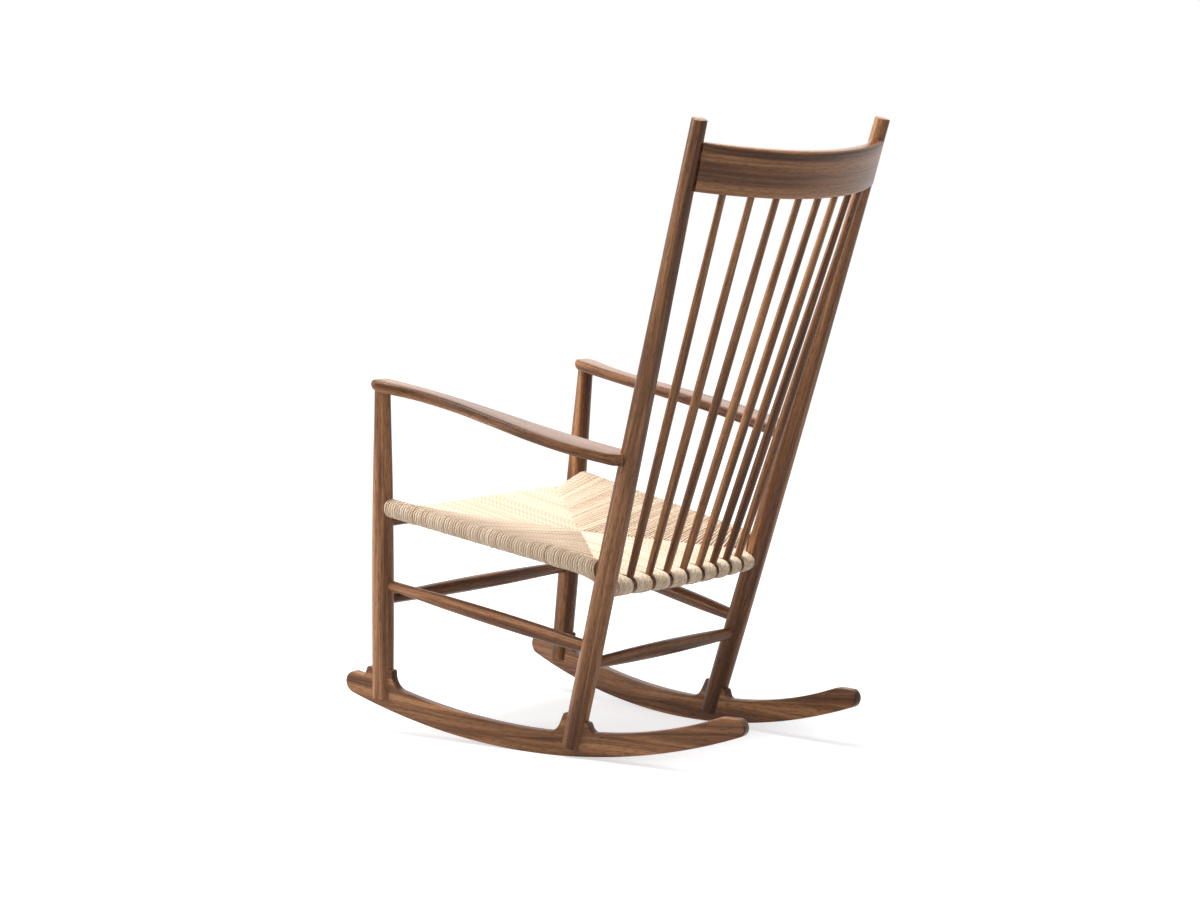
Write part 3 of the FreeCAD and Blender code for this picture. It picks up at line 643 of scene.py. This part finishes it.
# The seat: unbleached paper cord wound over the four rails. Each strand goes over its rail, back
# under it, and turns a corner at the seams that run from the corners to the middle.
def cord_material():
    """Twisted paper cord: pale and dull, with painted shade in the grooves between its plies."""
    cord = bpy.data.materials.new("paper_cord")
    cord.use_nodes = True
    tree = cord.node_tree
    shader = tree.nodes["Principled BSDF"]
    along = node(tree, "ShaderNodeUVMap", uv_map="cord").outputs["UV"]
    parts = node(tree, "ShaderNodeSeparateXYZ")
    tree.links.new(along, parts.inputs[0])
    plies = node(tree, "ShaderNodeMath", operation="MULTIPLY_ADD")
    tree.links.new(parts.outputs["X"], plies.inputs[0])
    plies.inputs[1].default_value = 3.0
    tree.links.new(parts.outputs["Y"], plies.inputs[2])
    wave = node(tree, "ShaderNodeMath", operation="PINGPONG")
    tree.links.new(plies.outputs[0], wave.inputs[0])
    wave.inputs[1].default_value = 0.5
    groove = node(tree, "ShaderNodeMapRange")
    tree.links.new(wave.outputs[0], groove.inputs["Value"])
    groove.inputs["From Max"].default_value = 0.28
    shade = node(tree, "ShaderNodeAttribute", attribute_name="shade")
    tone = node(tree, "ShaderNodeValToRGB")
    tree.links.new(shade.outputs["Fac"], tone.inputs["Fac"])
    tone.color_ramp.elements[0].color = (0.73, 0.545, 0.385, 1)
    tone.color_ramp.elements[1].color = (0.93, 0.775, 0.60, 1)
    # painted shade: the colour is darkened to 0.6 of itself in the grooves between the plies, where shade
    # falls
    depth = node(tree, "ShaderNodeMapRange")
    tree.links.new(groove.outputs["Result"], depth.inputs["Value"])
    depth.inputs["To Min"].default_value = 0.6
    groove_shaded = multiplied(tree, tone.outputs["Color"], depth.outputs["Result"])
    tree.links.new(groove_shaded, shader.inputs["Base Color"])
    bump = node(tree, "ShaderNodeBump", Strength=0.5, Distance=0.0003)
    tree.links.new(groove.outputs["Result"], bump.inputs["Height"])
    tree.links.new(bump.outputs["Normal"], shader.inputs["Normal"])
    shader.inputs["Roughness"].default_value = 0.72
    shader.inputs["IOR"].default_value = 1.4
    return cord


paper_cord = cord_material()
cord_luck = np.random.default_rng(3)
strand_radius, strand_sides = 1.9 * mm, 7
pitch, back_pitch = 4.7 * mm, 4.5 * mm
front_roll, side_roll, back_roll = 14.1 * mm, 14.4 * mm, 12.4 * mm
corner_set = 16 * mm
meet = Vector((0, front_rail_end.y + 226 * mm, 350 * mm))
corner_front = Vector((186 * mm, front_rail_end.y + 15 * mm, 392 * mm))
corner_back_x = side_back.x - corner_set
corner_back = Vector((corner_back_x, rail_point(corner_back_x).y - 13 * mm, 315 * mm))
under = {"front": (366 * mm, 337 * mm), "back": (292 * mm, 337 * mm)}
seam_tuck, seam_sink, seam_lip, seam_dip = 1.6 * mm, 4.2 * mm, 0.9 * mm, 3.2 * mm
under_rise = 2.2 * mm


def wrap(centre, size, far, far_low):
    """A strand's path in its own plane: off the seam, over the rail, under it and back to the seam."""
    turns = []
    for (a, z), above in ((far, 1), (far_low, -1)):
        distance = math.hypot(a - centre[0], z - centre[1])
        base = math.atan2(z - centre[1], a - centre[0])
        opening = math.acos(min(size / max(distance, size), 1))
        turns.append(max((base - opening, base + opening), key=lambda turn: above * math.sin(turn)))
    start, end = (turn % math.tau for turn in turns)
    rolled = []
    for turn in np.linspace(start, end, 15):
        rolled.append((centre[0] + size * math.cos(turn), centre[1] + size * math.sin(turn)))
    first, last = rolled[0], rolled[-1]
    run = math.hypot(first[0] - far[0], first[1] - far[1])
    dip = min(seam_dip, run * 0.5)
    way = ((first[0] - far[0]) / run, (first[1] - far[1]) / run)
    path = [(far[0] - way[0] * seam_tuck, far[1] - seam_sink)]
    path.append((far[0] + way[0] * dip * 0.35, far[1] - seam_lip + way[1] * dip * 0.35))
    path.append((far[0] + way[0] * dip * 1.2, far[1] + way[1] * dip * 1.2))
    for share in (0.3, 0.6, 0.85):
        if run * share > dip * 1.5:
            path.append((far[0] + way[0] * run * share, far[1] + way[1] * run * share))
    path += rolled
    for share in (0.35, 0.7):
        path.append((last[0] + (far_low[0] - last[0]) * share, last[1] + (far_low[1] - last[1]) * share))
    path.append((far_low[0], far_low[1]))
    path.append((far_low[0] - way[0] * seam_tuck, far_low[1] + under_rise))
    return path


def seam_point(corner, share, low=None):
    """A point on a seam, from a corner to the middle of the seat."""
    point = corner.lerp(meet, share)
    if low:
        point.z = low[0] + (low[1] - low[0]) * share
    return point


# the front field
strands = []
reach = corner_front.x
count = int(2 * reach / pitch)
for k in range(count + 1):
    x = -reach + 2 * reach * k / count
    share = max(0.0, 1 - abs(x) / corner_front.x)
    far, low = seam_point(corner_front, share), seam_point(corner_front, share, under["front"])
    ahead = front_rail_end.y
    path = wrap((0, front_rail_height), front_roll, (far.y - ahead, far.z), (low.y - ahead, low.z))
    strands.append([Vector((x, ahead + a, z)) for a, z in path])

# the side fields, over rails that fall to the back
side_run = side_back - side_front
run_start, run_end = 17.5 * mm / side_run.length, 1 - 18.5 * mm / side_run.length
count = int(side_run.length * (run_end - run_start) / pitch)
for k in range(count + 1):
    place = run_start + (run_end - run_start) * k / count
    centre = side_front + side_run * place
    front_share = (centre.y - corner_front.y) / (meet.y - corner_front.y)
    back_share = (corner_back.y - centre.y) / (corner_back.y - meet.y)
    if front_share <= 1:
        corner, share, depth = corner_front, max(front_share, 0), under["front"]
    else:
        corner, share, depth = corner_back, max(back_share, 0), under["back"]
    far, low = seam_point(corner, share), seam_point(corner, share, depth)
    path = wrap((0, centre.z), side_roll, (centre.x - far.x, far.z), (centre.x - low.x, low.z))
    line = [Vector((centre.x - a, centre.y, z)) for a, z in path]
    strands.append(line)
    strands.append(side_copy(line))

# the back field, in nine bays: its strands leave a slot around each spindle's foot
bay_end = side_back.x - 17 * mm
slot_half, slot_reach = 5.2 * mm, 28 * mm
spindle_feet = [(number - (spindle_count - 1) / 2) * rail_pitch for number in range(spindle_count)]
bays = [-bay_end] + spindle_feet + [bay_end]
for bay, (left_edge, right_edge) in enumerate(zip(bays, bays[1:])):
    width = right_edge - left_edge
    if bay == 0:
        still, drawn = left_edge, slot_half
    elif bay == spindle_count:
        still, drawn = right_edge, slot_half
    else:
        still, drawn = (left_edge + right_edge) / 2, 2 * slot_half
    count = max(int(round(width / back_pitch)), 2)
    for k in range(count):
        x = left_edge + width * (k + 0.5) / count
        share = max(0.0, 1 - abs(x) / corner_back.x)
        far, low = seam_point(corner_back, share), seam_point(corner_back, share, under["back"])
        centre = rail_point(x)
        bulge = (1 - (2 * (k + 0.5) / count - 1) ** 4) * mm
        path = wrap((0, centre.z), back_roll + bulge, (centre.y - far.y, far.z), (centre.y - low.y, low.z))
        line = []
        for a, z in path:
            closing = min(max(1 - a / slot_reach, 0), 1)
            squeeze = 1 - (drawn / width) * closing * closing * (3 - 2 * closing)
            line.append(Vector((still + (x - still) * squeeze, centre.y - a, z)))
        strands.append(line)

# each strand's own tube, some a little proud of the rest
uneven, proud, proud_share = 0.16 * mm, 0.35 * mm, 0.16
twist_length = 9 * mm
verts, quads, uvs, shades = [], [], [], []
side_before = Vector((1, 0, 0))
for line in strands:
    base = len(verts)
    luck = cord_luck.uniform()
    lift = cord_luck.normal() * uneven + (proud if cord_luck.uniform() < proud_share else 0)
    travelled = cord_luck.uniform(0, 10)
    for k, point in enumerate(line):
        ahead = line[min(k + 1, len(line) - 1)]
        behind = line[max(k - 1, 0)]
        tangent = (ahead - behind).normalized()
        if k:
            travelled += (point - line[k - 1]).length / twist_length
        # where a strand runs straight up or down, it keeps the side that it had before
        side = tangent.cross(Vector((0, 0, 1)))
        if side.length < 0.2:
            side = side_before.copy()
        elif k and side.dot(side_before) < 0:
            side = -side
        side.normalize()
        side_before = side
        outward = side.cross(tangent)
        for j in range(strand_sides):
            turn = math.tau * j / strand_sides
            sideways = side * strand_radius * math.cos(turn)
            verts.append(point + sideways + outward * (strand_radius * math.sin(turn) + lift))
            uvs.append((j / strand_sides, travelled))
            shades.append(luck)
    for k in range(len(line) - 1):
        for j in range(strand_sides):
            a = base + k * strand_sides + j
            b = base + k * strand_sides + (j + 1) % strand_sides
            quads.append((a, b, b + strand_sides, a + strand_sides))
    quads.append(tuple(range(base + strand_sides - 1, base - 1, -1)))
    quads.append(tuple(range(len(verts) - strand_sides, len(verts))))
weave_mesh = bpy.data.meshes.new("cord_weave")
weave_mesh.from_pydata(verts, [], quads)
layer = weave_mesh.uv_layers.new(name="cord")
corner_verts = np.empty(len(weave_mesh.loops), dtype=np.int32)
weave_mesh.loops.foreach_get("vertex_index", corner_verts)
uv_values = np.array(uvs)[corner_verts]
starts = np.empty(len(weave_mesh.polygons), dtype=np.int32)
weave_mesh.polygons.foreach_get("loop_start", starts)
totals = np.empty(len(weave_mesh.polygons), dtype=np.int32)
weave_mesh.polygons.foreach_get("loop_total", totals)
for start, total in zip(starts, totals):
    # a face that closes the tube ends at 1, not back at 0
    piece = uv_values[start : start + total, 0]
    if total == 4 and piece.max() - piece.min() > 0.5:
        piece[piece < 0.5] += 1
layer.data.foreach_set("uv", uv_values.ravel())
shade_values = weave_mesh.attributes.new("shade", "FLOAT", "POINT")
shade_values.data.foreach_set("value", np.array(shades, dtype=np.float32))
weave_mesh.shade_smooth()
weave_mesh.materials.append(paper_cord)
weave = bpy.data.objects.new("cord_weave", weave_mesh)
bpy.context.scene.collection.objects.link(weave)
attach(weave, "root")
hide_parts("woven_seat")


# The room: a pale floor and white surroundings, under a wide soft lamp. A second lamp stands before
# the chair's left side, and two weak ones fill from before its right side and from behind.
def lamp(name, place, aim, size, power):
    """A square soft lamp."""
    light = bpy.data.lights.new(name, "AREA")
    light.shape = "SQUARE"
    light.size = size
    light.energy = power
    stand = bpy.data.objects.new(name, light)
    stand.location = place
    stand.rotation_mode = "QUATERNION"
    stand.rotation_quaternion = (Vector(aim) - Vector(place)).to_track_quat("-Z", "Y")
    bpy.context.scene.collection.objects.link(stand)


def seen_rays(tree):
    """The kinds of ray, and 1 for the camera's own rays and mirrored ones, which see the room white."""
    rays = node(tree, "ShaderNodeLightPath")
    seen = node(tree, "ShaderNodeMath", operation="MAXIMUM")
    tree.links.new(rays.outputs["Is Camera Ray"], seen.inputs[0])
    tree.links.new(rays.outputs["Is Glossy Ray"], seen.inputs[1])
    return rays, seen.outputs[0]


lamp("top_lamp", (0.5, -0.35, 3.3), (0, 0, 0.5), 2.0, 140)
lamp("side_lamp", (2.4, -2.6, 1.7), (0, 0, 0.5), 1.6, 78)
lamp("back_lamp", (-2.5, -1.7, 2.1), (0, 0, 0.6), 1.6, 10)
lamp("view_lamp", (0.9, 3.7, 2.5), (0, 0, 0.5), 3.0, 24)

floor_edge = 14
floor_mesh = bpy.data.meshes.new("floor")
floor_corners = [(x * floor_edge, y * floor_edge, 0) for x, y in ((-1, -1), (1, -1), (1, 1), (-1, 1))]
floor_mesh.from_pydata(floor_corners, [], [(0, 1, 2, 3)])
floor = bpy.data.objects.new("floor", floor_mesh)
bpy.context.scene.collection.objects.link(floor)
floor_paint = bpy.data.materials.new("floor_paint")
floor_paint.use_nodes = True
tree = floor_paint.node_tree
shader = tree.nodes["Principled BSDF"]
shader.inputs["Base Color"].default_value = (0.6, 0.6, 0.61, 1)
shader.inputs["Roughness"].default_value = 0.9
shader.inputs["Specular IOR Level"].default_value = 0.0
rays, seen = seen_rays(tree)
glow = node(tree, "ShaderNodeEmission", Strength=1.0)
place = node(tree, "ShaderNodeTexCoord")
away = node(tree, "ShaderNodeVectorMath", operation="LENGTH")
tree.links.new(place.outputs["Object"], away.inputs[0])
# painted light: the floor's glow for camera and mirrored rays is 0.6 near the chair, so that its shadow
# shows, and rises to full white 2 m out, where the lamps' light falls away
painted_glow_ramp = node(tree, "ShaderNodeMapRange")
tree.links.new(away.outputs["Value"], painted_glow_ramp.inputs["Value"])
painted_glow_ramp.inputs["From Min"].default_value = 0.6
painted_glow_ramp.inputs["From Max"].default_value = 2.0
painted_glow_ramp.inputs["To Min"].default_value = 0.6
painted_glow_ramp.inputs["To Max"].default_value = 1.0
scaled = node(tree, "ShaderNodeMath", operation="MULTIPLY")
tree.links.new(seen, scaled.inputs[0])
tree.links.new(painted_glow_ramp.outputs["Result"], scaled.inputs[1])
tree.links.new(scaled.outputs[0], glow.inputs["Strength"])
both = node(tree, "ShaderNodeAddShader")
tree.links.new(shader.outputs[0], both.inputs[0])
tree.links.new(glow.outputs[0], both.inputs[1])
tree.links.new(both.outputs[0], tree.nodes["Material Output"].inputs["Surface"])
floor_mesh.materials.append(floor_paint)

world = bpy.data.worlds.new("white_room")
world.use_nodes = True
bpy.context.scene.world = world
tree = world.node_tree
sky = tree.nodes["Background"]
sky.inputs["Color"].default_value = (1, 1, 1, 1)
rays, seen = seen_rays(tree)
through = node(tree, "ShaderNodeMath", operation="MAXIMUM")
tree.links.new(seen, through.inputs[0])
tree.links.new(rays.outputs["Is Transmission Ray"], through.inputs[1])
strength = node(tree, "ShaderNodeMapRange")
tree.links.new(through.outputs[0], strength.inputs["Value"])
strength.inputs["To Min"].default_value = 0.14
strength.inputs["To Max"].default_value = 1.0
tree.links.new(strength.outputs["Result"], sky.inputs["Strength"])

bpy.context.scene.view_settings.view_transform = "Standard"
